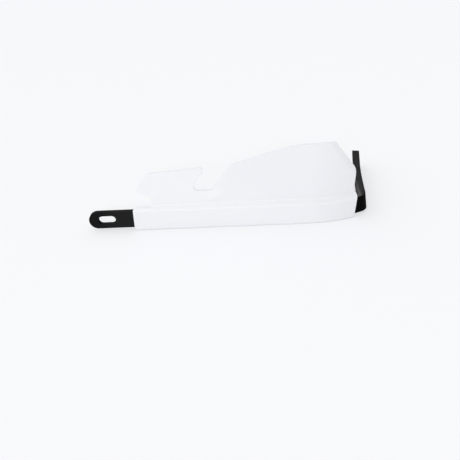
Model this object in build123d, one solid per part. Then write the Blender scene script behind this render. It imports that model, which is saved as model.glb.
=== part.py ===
from build123d import *
import os
from math import asin, cos, degrees, radians, sin, sqrt, tan

# Motorcycle hand guard: a moulded shield over a flat metal bar, in millimetres.
# X runs along the bar towards its outer end, Y towards the rider, Z up.
# The origin is the centre of the clamp slot, on the bar's rear face.

# Bar
bar_width = 20.0
bar_thickness = 5.0
bar_edge = 0.3
tip_reach = 20.0
slot_length = 19.0
slot_width = 9.6
front_run = 222.0
sweep_radius = 119.0
sweep_angle = 27.35
bend_inner_radius = 2.5
bend_end_angle = 86.2
tail_lean = 7.5
tail_thickness = 8.6
tail_length = 120.0
tail_curve_radius = 1150.0
tail_corner_radius = 3.0
bar_end_hole = 9.0
bar_end_margin = 12.0

# Band of the shield, a channel round the bar
wall = 3.0
flange = 2.75
bar_clearance = 0.25
band_start = 30.0
band_edge_radius = 2.5
ridge_drop = 1.9
ridge_radius = 1.5
shoulder_rise = 2.2
shoulder_radius = 2.0
foot_rise = 2.0

# Main shield
shield_height = 62.2
crown_radius = 400.0
corner_from_start = 108.0
corner_height = 42.6
corner_radius = 5.0
peak_before_sweep = 16.0
peak_radius = 170.0
outer_corner_before_bend = 13.49
outer_corner_drop = 0.8
outer_corner_radius = 4.0
bulge_before_bend = 1.28
bulge_height = 27.1
bulge_radius = 12.0
waist_before_bend = 2.7
waist_height = 4.2
waist_radius = 9.0
end_before_bend = 0.75
end_slant = 5.0
end_radius = 3.5
sweep_overrun = 2.0
bevel_width = 5.2
bevel_depth = 1.6
bevel_overrun = 0.15

# Flap
flap_lean = 9.0
flap_tip_from_start = 3.8
flap_tip_height = 16.2
flap_tip_radius = 2.0
flap_corner_from_start = 17.5
flap_corner_height = 35.0
flap_corner_radius = 7.0
flap_top_from_start = 77.5
flap_top_height = 39.3
flap_top_radius = 1.5
mouth_depth = 21.6
mouth_height = 8.4
mouth_radius = 3.5

# Lever notch between the flap and the main shield
notch_floor_height = 14.1
neck_drop = 6.7
neck_radius = 1.5
jog_run = 3.5
jog_drop = 8.2
notch_root_from_start = 63.6
notch_root_radius = 4.5
notch_foot_from_start = 86.2
crease_foot_from_start = 80.5
crease_lap = 5.0
ramp_width = 18.0
ramp_reach = 0.45
ramp_margin = 0.05
ramp_bite = 0.2
ramp_lift = 0.06

# Screws from behind
screw_count = 3
first_screw_from_start = 30.0
screw_pitch = 75.0
screw_core = 3.3
screw_grip = 5.4
head_diameter = 8.0
head_height = 2.6
head_edge = 0.9
screw_point = 0.6
recess_width = 1.0
recess_length = 4.4
recess_depth = 1.3
washer_diameter = 14.0
washer_thickness = 1.2
washer_play = 0.5
boss_diameter = 8.0
boss_play = 0.25
boss_gap = 0.3
pilot_play = 0.05
pilot_end_wall = 1.2

# Levels of the section: Y to the rear, Z up from the bar's middle line
channel_depth = bar_thickness + bar_clearance
channel_half = bar_width / 2 + bar_clearance
band_front = -(channel_depth + wall)
band_half = channel_half + flange
ridge_z = band_half - ridge_drop
shoulder_z = band_half + shoulder_rise
foot_z = shoulder_z + foot_rise
far = front_run + sweep_radius + tail_length

front_view = Plane(origin=(0, 0, 0), x_dir=(1, 0, 0), z_dir=(0, -1, 0))
screw_places = [band_start + first_screw_from_start + i * screw_pitch for i in range(screw_count)]


def through(sketch):
    """Extrude a sketch of the front view through the whole depth."""
    return extrude(front_view * sketch, amount=far, both=True)


def outline(corners):
    """A closed outline from corners given as x, z and the radius of the corner."""
    points = [(x, z) for x, z, _ in corners]
    return make_face(FilletPolyline(*points, radius=[r for _, _, r in corners], close=True))


def along_y(radius, start, end, x):
    """A round bar along Y from start to end at place x on the bar's middle line."""
    return extrude(Plane(origin=(x, start, 0), z_dir=(0, 1, 0)) * Circle(radius), amount=end - start)


def side_of_bar(y, bend_radius):
    """One side of the bar in plan: straight run, gentle sweep and bend."""
    run = Line((-tip_reach, y), (front_run, y))
    swept = JernArc(run @ 1, run % 1, sweep_radius - y, sweep_angle)
    return run, swept, JernArc(swept @ 1, swept % 1, bend_radius, bend_end_angle - sweep_angle)


def make_bar():
    """Flat bar on edge: slotted round end, straight run, sweep, slanted bend and a thicker, bowed tail."""
    turn = cos(radians(bend_end_angle - sweep_angle))
    outer_radius = bend_inner_radius + (tail_thickness - bar_thickness * turn) / (1 - turn)
    front, front_sweep, front_bend = side_of_bar(-bar_thickness, outer_radius)
    rear, rear_sweep, rear_bend = side_of_bar(0, bend_inner_radius)
    top = Vector(0, 0, bar_width / 2)
    slant = front_sweep % 1 * tan(radians(tail_lean)) - Vector(0, 0, 1)

    # Straight run and sweep, cut off along the slanted line where the bend starts
    lead = front_sweep % 1 * bar_width
    lead_lines = Polyline(front_sweep @ 1, front_sweep @ 1 + lead, rear_sweep @ 1 + lead, rear_sweep @ 1)
    arm_side = front + front_sweep + lead_lines + rear_sweep + rear + Line(rear @ 0, front @ 0)
    arm = extrude(make_face(arm_side), amount=bar_width / 2, both=True)
    across = rear_sweep @ 1 - front_sweep @ 1
    joint = Plane(origin=front_sweep @ 1 + top, x_dir=across, z_dir=slant.cross(across))
    arm = split(arm, joint, keep=Keep.BOTTOM)

    # Bend and tail, drawn at the top edge and extruded down along the slant
    along = front_bend % 1
    bow = -degrees(tail_length / tail_curve_radius)
    front_tail = JernArc(front_bend @ 1, along, tail_curve_radius, bow)
    run_out = Line(rear_bend @ 1, rear_bend @ 1 + along * (front_bend @ 1 - rear_bend @ 1).dot(along))
    rear_tail = JernArc(run_out @ 1, along, tail_curve_radius + tail_thickness, bow)
    hook_ends = Line(front_tail @ 1, rear_tail @ 1) + Line(rear_sweep @ 1, front_sweep @ 1)
    hook = make_face(front_bend + front_tail + rear_bend + run_out + rear_tail + hook_ends)
    bar = arm + extrude(Pos(top) * hook, amount=bar_width * slant.length, dir=slant)

    # Round corners, slot, bolt hole, broken edges, and room for the screws
    end_face = bar.faces().sort_by(Axis.Y)[-1]
    bar = fillet(end_face.edges().sort_by(SortBy.LENGTH)[:2], tail_corner_radius)
    tip = Pos(-tip_reach, 0) * Rectangle(bar_width, 2 * bar_width)
    bar -= through(tip - Pos(bar_width / 2 - tip_reach, 0) * Circle(bar_width / 2))
    bar -= through(SlotOverall(slot_length, slot_width))
    back = front_tail % 1
    middle = front_tail @ 1 - back * bar_end_margin + top + slant * (bar_width / 2)
    hole = Plane(origin=middle, x_dir=back, z_dir=slant.cross(back))
    bar -= extrude(hole * Circle(bar_end_hole / 2), amount=bar_width, both=True)
    bar = chamfer(bar.edges(), bar_edge)
    for x in screw_places:
        bar -= along_y(boss_diameter / 2 + boss_play, -2 * bar_thickness, bar_thickness, x)
        bar -= along_y(washer_diameter / 2 + washer_play, 0, washer_thickness + head_height, x)
    return bar


def channel_lines():
    """The band's section: round front, shoulder up to the plate's foot, and the channel at the back."""
    front = FilletPolyline(
        (0, -band_half),
        (band_front, -band_half),
        (band_front, ridge_z),
        (-wall, shoulder_z),
        (-wall, foot_z),
        radius=[band_edge_radius, ridge_radius, shoulder_radius],
    )
    back = Polyline(
        (0, foot_z),
        (0, channel_half),
        (-channel_depth, channel_half),
        (-channel_depth, -channel_half),
        (0, -channel_half),
        (0, -band_half),
    )
    return front + back


def main_section():
    """Section with the crowned plate of the main shield."""
    crown = degrees(asin((shield_height + shoulder_z) / crown_radius))
    face = JernArc((-wall, foot_z), (0, 1), crown_radius, -crown)
    rear = JernArc((0, foot_z), (0, 1), crown_radius - wall, -crown)
    return make_face(channel_lines() + face + Line(face @ 1, rear @ 1) + rear)


def flap_section():
    """Section with the flat plate of the flap, which leans back from its foot."""
    lean = Vector(0, 1).rotate(Axis.Z, -flap_lean) * (2 * flap_top_height)
    face = Line((-wall, foot_z), Vector(-wall, foot_z) + lean)
    rear = Line((0, foot_z), Vector(0, foot_z) + lean)
    return make_face(channel_lines() + face + Line(face @ 1, rear @ 1) + rear)


def across(x):
    """The plane of a section at place x, with local X along Y and local Y along Z."""
    return Plane(origin=(x, 0, 0), x_dir=(0, 1, 0), z_dir=(1, 0, 0))


def along_sweep(before_bend):
    """The place along X of a point on the sweep, so many degrees before the bar's bend."""
    return front_run + sweep_radius * sin(radians(sweep_angle - before_bend))


def crown_y(z):
    """The depth of the main shield's crowned front at a height."""
    return crown_radius - wall - sqrt(crown_radius**2 - (z - foot_z) ** 2)


def crease_ramp():
    """A cut that leads in a hollow cone from the flap's front round to the main shield's at the crease."""
    floor_z = shoulder_z + notch_floor_height
    foot_x = band_start + notch_foot_from_start
    side = Vector(foot_x + ramp_width, crown_y(floor_z) - ramp_lift, floor_z)
    depth = (notch_floor_height - foot_rise) * tan(radians(flap_lean)) - wall - side.Y + ramp_bite
    radius = (ramp_width**2 + depth**2) / (2 * depth)
    turn = degrees(asin(ramp_width / radius)) * (1 + ramp_margin)
    low = Vector(band_start + crease_foot_from_start, -wall - ramp_lift, foot_z)
    high_x = foot_x + (corner_from_start - notch_foot_from_start) * ramp_reach
    high_z = floor_z + (corner_height - notch_floor_height) * ramp_reach
    level = Plane(origin=(0, 0, floor_z))
    bow = JernArc((side.X, side.Y), (-1, 0), radius, -turn)
    ahead = Vector(0, -band_half)
    front = Polyline(bow @ 1, bow @ 1 + ahead, bow @ 0 + ahead, bow @ 0)
    bottom = Vertex(*(low + (low - side) * ramp_margin))
    top = Vertex(high_x, crown_y(high_z) - ramp_lift, high_z)
    return Solid.make_loft([bottom, (level * (bow + front)).wire(), top], ruled=True)


def bevel_slice(x, z, edge):
    """A slice of the bevel's cut, across the slanted outer edge where it has this place and height."""
    depth = sweep_radius - sqrt((sweep_radius - crown_y(z)) ** 2 - (x - front_run) ** 2)
    rise = (z - foot_z) / crown_radius
    facing = (Vector(x - front_run, depth - sweep_radius).normalized() + Vector(0, 0, rise)).normalized()
    inward = edge.cross(facing).normalized()
    front = Vector(x, depth, z)
    inner = front + inward * bevel_width
    fall = front - facing * bevel_depth - inner
    return Polyline(inner - fall, inner + fall * 2, front + facing * wall, close=True).wire()


def outer_bevel():
    """A cut that bevels the front of the slanted outer edge and bows with the sweep."""
    high = Vector(along_sweep(outer_corner_before_bend), 0, shoulder_z + shield_height - outer_corner_drop)
    edge = Vector(along_sweep(bulge_before_bend), 0, shoulder_z + bulge_height) - high
    places = [high + edge * share for share in (-bevel_overrun, 1 / 2, 1 + bevel_overrun)]
    return Solid.make_loft([bevel_slice(place.X, place.Z, edge) for place in places])


def make_main():
    """Main shield with its stretch of the band, straight and then round the sweep."""
    start = band_start + crease_foot_from_start
    straight = extrude(across(start) * main_section(), amount=front_run - start)
    sweep_axis = Axis((front_run, sweep_radius, 0), (0, 0, 1))
    curved = revolve(across(front_run) * main_section(), sweep_axis, sweep_angle + sweep_overrun)
    top = shoulder_z + shield_height
    end = along_sweep(end_before_bend)
    plate = (straight + curved) & through(
        outline(
            [
                (start, -far, 0),
                (start, foot_z, 0),
                (band_start + notch_foot_from_start, shoulder_z + notch_floor_height, 0),
                (band_start + corner_from_start, shoulder_z + corner_height, corner_radius),
                (front_run - peak_before_sweep, top, peak_radius),
                (along_sweep(outer_corner_before_bend), top - outer_corner_drop, outer_corner_radius),
                (along_sweep(bulge_before_bend), shoulder_z + bulge_height, bulge_radius),
                (along_sweep(waist_before_bend), shoulder_z + waist_height, waist_radius),
                (end, band_half, end_radius),
                (end - end_slant, -2 * band_half, 0),
                (end - end_slant, -far, 0),
            ]
        )
    )
    return plate - crease_ramp() - outer_bevel()


def make_flap():
    """Flap with the inner stretch of the band and the open mouth between them."""
    end = band_start + crease_foot_from_start
    straight = extrude(across(band_start) * flap_section(), amount=end - band_start + 2 * crease_lap)
    mouth_x = band_start + mouth_depth
    floor_z = shoulder_z + notch_floor_height
    top_x = band_start + flap_top_from_start
    top_z = shoulder_z + flap_top_height
    return straight & through(
        outline(
            [
                (band_start, -far, 0),
                (band_start, band_half, ridge_radius),
                (mouth_x, band_half, mouth_radius),
                (mouth_x, shoulder_z + mouth_height, mouth_radius),
                (band_start + flap_tip_from_start, shoulder_z + flap_tip_height, flap_tip_radius),
                (band_start + flap_corner_from_start, shoulder_z + flap_corner_height, flap_corner_radius),
                (top_x, top_z, flap_top_radius),
                (top_x, top_z - neck_drop, neck_radius),
                (top_x - jog_run, top_z - jog_drop, neck_radius),
                (band_start + notch_root_from_start, floor_z, notch_root_radius),
                (band_start + notch_foot_from_start + crease_lap, floor_z, 0),
                (end + crease_lap, foot_z, 0),
                (end, foot_z, 0),
                (end, -far, 0),
            ]
        )
    )


def make_shield():
    """The moulding: main shield, flap and band in one piece, with screw bosses in the channel."""
    shield = make_main() + make_flap()
    for x in screw_places:
        shield += along_y(boss_diameter / 2, -channel_depth - wall / 2, -boss_gap, x)
        shield -= along_y(screw_core / 2 + pilot_play, band_front + pilot_end_wall, 0, x)
    return shield


def make_screw():
    """Pan head screw along Y: head to the rear, blunt core to the front, cross recess."""
    top = washer_thickness + head_height
    head = along_y(head_diameter / 2, washer_thickness, top, 0)
    head = chamfer(head.edges().sort_by(Axis.Y)[-1], head_edge)
    core = along_y(screw_core / 2, -boss_gap - screw_grip, washer_thickness, 0)
    core = chamfer(core.edges().sort_by(Axis.Y)[0], screw_point)
    slit = Pos(0, top, 0) * Box(recess_length, 2 * recess_depth, recess_width)
    return head + core - slit - slit.rotate(Axis.Y, 90)


def make_washer():
    """Plain washer on the bar's rear face."""
    hole = screw_core / 2 + washer_play
    disc = along_y(washer_diameter / 2, 0, washer_thickness, 0)
    return disc - along_y(hole, -washer_thickness, 2 * washer_thickness, 0)


def set_of(piece):
    """The same piece at each screw place, as separate solids."""
    return Compound(children=[Pos(x, 0, 0) * piece for x in screw_places])


os.makedirs("parts", exist_ok=True)
export_step(make_bar(), "parts/bar.step")
export_step(make_shield(), "parts/shield.step")
export_step(set_of(make_screw()), "parts/shield_screws.step")
export_step(set_of(make_washer()), "parts/screw_washers.step")
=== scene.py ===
# %% [markdown]
# # A motorcycle hand guard, dressed for a photograph
# The solid model of the guard comes in as a fixed frame: a white moulded shield, a flat black bar
# and the screws and washers behind them. Nothing of it is moved here. The lesson is about finishes:
# each piece gets a material of nodes that shows how the real one is made, and then a floor, soft
# light and a camera are set up. All lengths are in metres.

# %% Load the solid model
import bpy
from math import cos, radians, sin
from mathutils import Matrix, Vector


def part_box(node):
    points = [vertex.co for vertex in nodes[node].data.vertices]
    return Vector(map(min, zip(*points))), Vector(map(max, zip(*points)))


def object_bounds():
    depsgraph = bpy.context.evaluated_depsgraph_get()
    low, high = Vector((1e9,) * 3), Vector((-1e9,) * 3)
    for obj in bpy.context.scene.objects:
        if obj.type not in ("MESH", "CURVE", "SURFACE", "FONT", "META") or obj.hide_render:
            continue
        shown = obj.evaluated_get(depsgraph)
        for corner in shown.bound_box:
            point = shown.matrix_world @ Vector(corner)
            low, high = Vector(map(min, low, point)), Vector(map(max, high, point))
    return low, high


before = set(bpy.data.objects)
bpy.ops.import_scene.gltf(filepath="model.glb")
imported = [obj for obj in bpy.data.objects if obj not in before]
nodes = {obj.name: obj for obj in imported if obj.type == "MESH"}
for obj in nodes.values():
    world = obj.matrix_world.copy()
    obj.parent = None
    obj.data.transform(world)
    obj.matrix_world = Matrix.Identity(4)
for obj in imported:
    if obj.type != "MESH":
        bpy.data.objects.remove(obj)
cad_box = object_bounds()
print("pieces:", sorted(nodes))

# %% [markdown]
# ## A short way to write shader maths
# A material is a net of nodes, and each sum in it is a Math node. Adding those one by one by hand
# hides the formula, so a small class wraps a socket and lets Python's own signs add the nodes.
# Every node comes from its one method `node`, which sets the node up first and then fills its
# sockets with numbers or links. The methods after it name the few kinds that come up again.

# %% The class that wraps a socket
class Wire:
    """One socket of a node tree. Signs between wires and numbers add Math nodes."""

    def __init__(self, tree, socket=None):
        self.tree = tree
        self.socket = socket

    def node(self, kind, settings=None, inputs=None, out=0):
        made = self.tree.nodes.new(kind)
        for key, value in (settings or {}).items():
            setattr(made, key, value)
        for key, value in (inputs or {}).items():
            if isinstance(value, Wire):
                self.tree.links.new(value.socket, made.inputs[key])
            else:
                made.inputs[key].default_value = value
        return Wire(self.tree, made.outputs[out])

    def sum_of(self, operation, first, second=0.0):
        return self.node("ShaderNodeMath", {"operation": operation}, {0: first, 1: second})

    def axis(self, vector, letter):
        """The X, Y or Z of a vector."""
        return self.node("ShaderNodeSeparateXYZ", None, {"Vector": vector}, out=letter)

    def step(self, value, start, end):
        """A soft step from 0 at start to 1 at end."""
        reach = {"Value": value, "From Min": start, "From Max": end}
        return self.node("ShaderNodeMapRange", {"interpolation_type": "SMOOTHSTEP"}, reach)

    def mix(self, share, first, second):
        """From the first colour to the second, each a wire or three numbers."""
        colours = {"Factor": share}
        for key, colour in (("A", first), ("B", second)):
            colours[key] = colour if isinstance(colour, Wire) else (*colour, 1)
        return self.node("ShaderNodeMix", {"data_type": "RGBA"}, colours, out="Result")

    def noise(self, place, scale, detail):
        """A cloudy value between 0 and 1, finer with a greater scale."""
        inputs = {"Vector": place, "Scale": scale, "Detail": detail}
        return self.node("ShaderNodeTexNoise", None, inputs)

    def rounded(self, radius):
        """The normal as it would be if every edge were rounded."""
        return self.node("ShaderNodeBevel", {"samples": 8}, {"Radius": radius})

    def relief(self, height, normal, strength, depth):
        """A normal that shows fine heights in the light without changing the mesh."""
        inputs = {"Height": height, "Normal": normal, "Strength": strength, "Distance": depth}
        return self.node("ShaderNodeBump", None, inputs)

    def __add__(self, other):
        return self.sum_of("ADD", self, other)

    def __sub__(self, other):
        return self.sum_of("SUBTRACT", self, other)

    def __rsub__(self, other):
        return self.sum_of("SUBTRACT", other, self)

    def __mul__(self, other):
        return self.sum_of("MULTIPLY", self, other)

    def __truediv__(self, other):
        return self.sum_of("DIVIDE", self, other)

    def __pow__(self, other):
        return self.sum_of("POWER", self, other)


# %% A new material and its shader
def new_finish(name, **constants):
    """A new material: itself, a wire for adding nodes, and its shader with the constants set."""
    finish = bpy.data.materials.new(name)
    finish.use_nodes = True
    shader = finish.node_tree.nodes["Principled BSDF"]
    for key, value in constants.items():
        shader.inputs[key.replace("_", " ")].default_value = value
    return finish, Wire(finish.node_tree), shader


def plug(shader, key, wire):
    """Link a wire to a socket of the shader."""
    wire.tree.links.new(wire.socket, shader.inputs[key])


def put_on(node_name, finish):
    """Give every material slot of a piece the same finish."""
    for slot in nodes[node_name].material_slots:
        slot.material = finish
    print(node_name, "gets", finish.name)


print("shader helpers ready")

# %% [markdown]
# ## White moulded plastic
# The shield is injection moulded. Such plastic is never quite even: the mould leaves a very fine
# grain, the satin changes a little where the melt met cold steel, and the white drifts slightly
# from one tone to another. Each of these is a noise of its own size on the object's own
# coordinates, so nothing slides when the view turns. The large plate is painted a shade darker
# than the band and the flap: that is painted shade, standing in for the weaker light on the plate,
# and a soft step on the place along and up the part does it. The edges of a moulding are rounded
# by a few tenths of a millimetre, and the Bevel node bends the light there in the same way.

# %% The shield's plastic
lighter_white = (0.826, 0.833, 0.861)
drift_and_shade_white = (0.799, 0.805, 0.836)
plate_rise = 2.2
plate_start = 0.16
plate_full = 0.28

plastic, add, shader = new_finish("white_moulded_plastic", Specular_IOR_Level=0.5)
place = add.node("ShaderNodeTexCoord", out="Object")
drift = add.noise(place, 14.0, 3.0)
satin = add.noise(place, 70.0, 4.0)
grain = add.noise(place, 1400.0, 2.0)
along_and_up = add.axis(place, "X") + add.axis(place, "Z") * plate_rise
# Painted shade: the plate is painted darker than the band and the flap, mixed with the random
# drift.
plate_painted_shade = add.step(along_and_up, plate_start, plate_full)
plug(shader, "Base Color", add.mix(plate_painted_shade * 0.75 + drift * 0.25, lighter_white, drift_and_shade_white))
plug(shader, "Roughness", satin * 0.1 + grain * 0.05 + 0.16)
plug(shader, "Normal", add.relief(grain, add.rounded(0.0005), 0.12, 0.0001))
put_on("shield", plastic)

# %% [markdown]
# ## Black coated bar
# The bar is flat metal under a black satin coat. The coat is sprayed and baked, so it has a fine
# orange-peel grain, and its edges are a lighter grey. The Bevel node finds those edges: where its
# rounded normal leaves the face's own normal, the mask goes up. Three more masks follow the
# picture.
# Faces that point outwards are painted a deeper black as painted shade, and are duller; the face's
# own normal tells them. The round end beside the slot is painted deeper as well, also painted
# shade.
# Behind the bend the tail's top is painted pale, a painted reflection of the white shield, and made
# smoother, most along its inner edge: that mask comes from the place, and its streaks are a noise
# stretched along the tail.

# %% The bar's worn edges and deeper faces
coat, add, shader = new_finish("black_satin_coat", Specular_IOR_Level=0.05)
place = add.node("ShaderNodeTexCoord", out="Object")
along = add.axis(place, "X")
peel = add.noise(place, 1800.0, 2.0)
cloud = add.noise(place, 45.0, 5.0)
rounded = add.rounded(0.0007)
flat = add.node("ShaderNodeNewGeometry", out="Normal")
both = {0: rounded, 1: flat}
alike = add.node("ShaderNodeVectorMath", {"operation": "DOT_PRODUCT"}, both, out="Value")
lighter_edges = (1 - alike) * cloud * 2.5
# Painted shade: faces that point outwards and the round end are painted a deeper black.
outward_shade = add.step(add.axis(flat, "X"), 0.3, 0.44)
round_end_shade = add.step(along, 0.012, -0.012)
print("edge, outward and round end masks ready")

# %% The bar's painted reflection on the tail
tail_from = 0.268
tail_full = 0.274
inner_edge = 0.2785
inner_edge_fades = 0.2835
bend_at = 0.012
reflection_ends = 0.15
streak_scale = (900.0, 40.0, 300.0)

stretched = add.node("ShaderNodeMapping", None, {"Vector": place, "Scale": streak_scale})
streaks = add.step(add.noise(stretched, 1.0, 3.0), 0.35, 0.65)
behind_bend = add.step(add.axis(place, "Y"), reflection_ends, bend_at)
on_tail = add.step(along, tail_from, tail_full)
inner_side = add.step(along, inner_edge_fades, inner_edge)
on_top = add.step(add.axis(flat, "Z"), 0.5, 0.9)
# Painted reflection: the tail's top is painted pale near the bend and made smoother.
painted_reflection = behind_bend * on_tail * on_top * (inner_side * 0.8 + streaks * 0.2)
print("rubbed mask ready")

# %% The bar's coat
satin_black = (0.0132, 0.0133, 0.0138)
painted_shade_black = (0.001, 0.001, 0.0011)
edge_grey = (0.03, 0.03, 0.031)
reflection_grey = (0.085, 0.081, 0.079)

# Painted shade: outward faces and the round end mix towards the near-black.
black = add.mix(outward_shade + round_end_shade * 0.5, satin_black, painted_shade_black)
worn = add.mix(lighter_edges, black, edge_grey)
# Painted reflection: the tail's top mixes towards a pale grey.
plug(shader, "Base Color", add.mix(painted_reflection, worn, reflection_grey))
plug(shader, "Roughness", cloud * 0.16 + peel * 0.08 + 0.54 + outward_shade * 0.22 - painted_reflection * 0.5)
plug(shader, "Normal", add.relief(peel, rounded, 0.25, 0.0001))
put_on("bar", coat)

# %% [markdown]
# ## Zinc on the screws and washers
# The fasteners behind the bar are steel with bright zinc on it. Heads and washers are turned or
# stamped, which leaves rings round each axis. All three screws share one mesh, so the place along
# the bar is folded to the nearest screw before the distance from its axis is taken.

# %% Distance from the nearest screw
screws_low, screws_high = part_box("shield_screws")
head_radius = (screws_high.z - screws_low.z) / 2
first_screw = screws_low.x + head_radius
last_screw = screws_high.x - head_radius
pitch = (last_screw - first_screw) / 2
print("screws at", round(first_screw, 4), "with a pitch of", round(pitch, 4))


def ring_distance(add, place):
    """How far a point is from the axis of its nearest screw, in metres."""
    steps = (add.axis(place, "X") - first_screw) / pitch
    aside = (steps - add.sum_of("ROUND", steps)) * pitch
    height = add.axis(place, "Z")
    return (aside * aside + height * height) ** 0.5


# %% The zinc
def zinc_finish(name, light, dark, ring_scale):
    """Bright zinc with turned rings, spotted between a light and a dark tone."""
    zinc, add, shader = new_finish(name, Metallic=1.0)
    place = add.node("ShaderNodeTexCoord", out="Object")
    rings = add.sum_of("SINE", ring_distance(add, place) * ring_scale)
    spots = add.noise(place, 420.0, 4.0)
    plug(shader, "Base Color", add.mix(spots, dark, light))
    plug(shader, "Roughness", spots * 0.2 + rings * 0.03 + 0.24)
    plug(shader, "Normal", add.relief(rings + spots, add.rounded(0.0003), 0.2, 0.00005))
    return zinc


head_zinc = zinc_finish("bright_zinc", (0.66, 0.67, 0.69), (0.5, 0.51, 0.53), 21000.0)
washer_zinc = zinc_finish("washer_zinc", (0.6, 0.61, 0.63), (0.44, 0.45, 0.47), 14000.0)
put_on("shield_screws", head_zinc)
put_on("screw_washers", washer_zinc)

# %% [markdown]
# ## Floor and light
# The guard stands on a plain pale floor. A floor that is only lit turns grey, and more light would
# burn out the white plastic. So what the camera sees of it, directly or in a mirror, is part lit
# paper, which keeps the shadow, and part a pale glow that lights nothing. The world is a soft white
# tent, brighter above and on the left, and it shows the same pale tone to the camera, so that the
# floor runs into it almost without a line. One long, thin lamp stands far behind the camera and
# above it, so that the ridge and the foot of the plate each catch a thin bright line. Its beam is
# narrowed, which keeps the floor below it from burning out. All of it is kept at a level where a
# colour renders about as written.

# %% Rays that carry the picture
pale = (0.935, 0.94, 0.962)


def seen_directly(add):
    """1 for a ray of the camera, a mirror or a glass, and 0 for a ray that only gathers light."""
    kinds = ("Is Camera Ray", "Is Glossy Ray", "Is Transmission Ray")
    camera, mirror, glass = [add.node("ShaderNodeLightPath", out=kind) for kind in kinds]
    return add.sum_of("MAXIMUM", add.sum_of("MAXIMUM", camera, mirror), glass)


print("pale tone", pale)

# %% Floor
paper_white = (0.908, 0.916, 0.93)
glow_share = 0.6

bpy.ops.object.select_all(action="DESELECT")
bpy.ops.mesh.primitive_plane_add(size=60, location=(0, 0, cad_box[0][2]))
floor = bpy.context.object
floor.name = "floor"
bpy.ops.object.transform_apply(location=True)
paper, add, shader = new_finish("pale_paper", Roughness=1.0, Specular_IOR_Level=0.0)
shader.inputs["Base Color"].default_value = (*paper_white, 1)
lit = Wire(paper.node_tree, shader.outputs["BSDF"])
glow = add.node("ShaderNodeEmission", None, {"Color": (*pale, 1), "Strength": 1.0})
share = seen_directly(add) * glow_share
blend = add.node("ShaderNodeMixShader", None, {0: share, 1: lit, 2: glow})
plug(paper.node_tree.nodes["Material Output"], "Surface", blend)
floor.data.materials.append(paper)
print("floor at", round(cad_box[0][2], 4))

# %% World
tent_level = 0.67
darker_right = 0.38
brighter_above = 0.46

world = bpy.data.worlds.new("white_tent")
world.use_nodes = True
bpy.context.scene.world = world
add = Wire(world.node_tree)
way = add.node("ShaderNodeTexCoord", out="Generated")
light = tent_level - add.axis(way, "X") * darker_right + add.axis(way, "Z") * brighter_above
tent = world.node_tree.nodes["Background"]
tent.inputs["Color"].default_value = (1, 1, 1, 1)
plug(tent, "Strength", light)
lit = Wire(world.node_tree, tent.outputs["Background"])
shown = add.node("ShaderNodeBackground", None, {"Color": (*pale, 1), "Strength": 1.0})
blend = add.node("ShaderNodeMixShader", None, {0: seen_directly(add), 1: lit, 2: shown})
plug(world.node_tree.nodes["World Output"], "Surface", blend)
print("world ready")

# %% Lamp
lamp_target = Vector((0.12, 0, 0))

bpy.ops.object.light_add(type="AREA", location=(-0.32, -5.76, 2.3))
lamp = bpy.context.object
lamp.name = "long_lamp"
lamp.data.shape = "RECTANGLE"
lamp.data.size = 3.2
lamp.data.size_y = 0.4
lamp.data.spread = radians(80)
lamp.data.energy = 14.4
to_guard = lamp_target - lamp.location
lamp.rotation_euler = to_guard.to_track_quat("-Z", "Y").to_euler()
print("lamp", round(to_guard.length, 2), "m away")

# %% [markdown]
# ## Camera
# The picture was taken from above the guard's front, with the camera rolled by about three
# degrees. The camera's three axes are written out, so its place and turn are plain to read.

# %% Camera
camera_place = (0.15, -0.6366, 0.3358)
roll = radians(3.0115)
look = Vector((-0.02302, 0.90230, -0.43051)).normalized()

level_right = look.cross(Vector((0, 0, 1))).normalized()
level_down = look.cross(level_right)
right = level_right * cos(roll) + level_down * sin(roll)
down = level_down * cos(roll) - level_right * sin(roll)
turn = Matrix((right, -down, -look)).transposed().to_4x4()
bpy.ops.object.camera_add()
camera = bpy.context.object
camera.name = "camera"
camera.data.sensor_width = 36
camera.data.lens = 51.13
camera.data.shift_x = 0.0057
camera.data.shift_y = -0.0935
camera.data.clip_start = 0.01
camera.matrix_world = Matrix.Translation(camera_place) @ turn
bpy.context.scene.camera = camera
bpy.context.scene.view_settings.view_transform = "Standard"
print("camera at", [round(v, 4) for v in camera.location])
